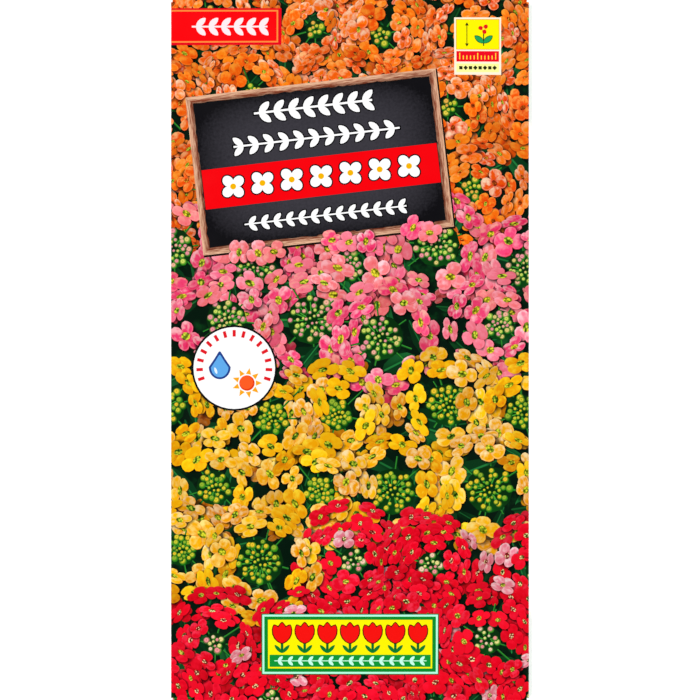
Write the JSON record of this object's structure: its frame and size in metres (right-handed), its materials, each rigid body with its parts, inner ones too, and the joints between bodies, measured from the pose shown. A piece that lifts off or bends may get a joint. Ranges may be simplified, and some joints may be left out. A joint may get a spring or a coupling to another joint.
{
  "type": "seed packet",
  "caption": "Flat folded paper packet with a flower print, holding a small sealed sachet of seeds; lies flat or is propped up to show what was sown.",
  "frame": {"origin": "on the surface the packet lies on, under the middle of its outline", "axes": "+Z out of the picture side, +Y towards the packet's head, +X to the right as the picture is looked at"},
  "size_m": [0.0816, 0.16, 0.0037],
  "materials": {
    "coated_paper": "one-side coated paper, printed in orange, pink, yellow and red flowers over dark green, with a satin gloss; white and matt inside",
    "sachet_film": "thin white heat-seal paper, satin, with a crimped rim",
    "seed_coat": "matt orange-brown seed coat with a paler rim"
  },
  "bodies": {
    "root": {"paper_envelope": "coated_paper", "sachet_back_web": "sachet_film", "sachet_front_web": "sachet_film", "seeds": "seed_coat"}
  },
  "joints": []
}
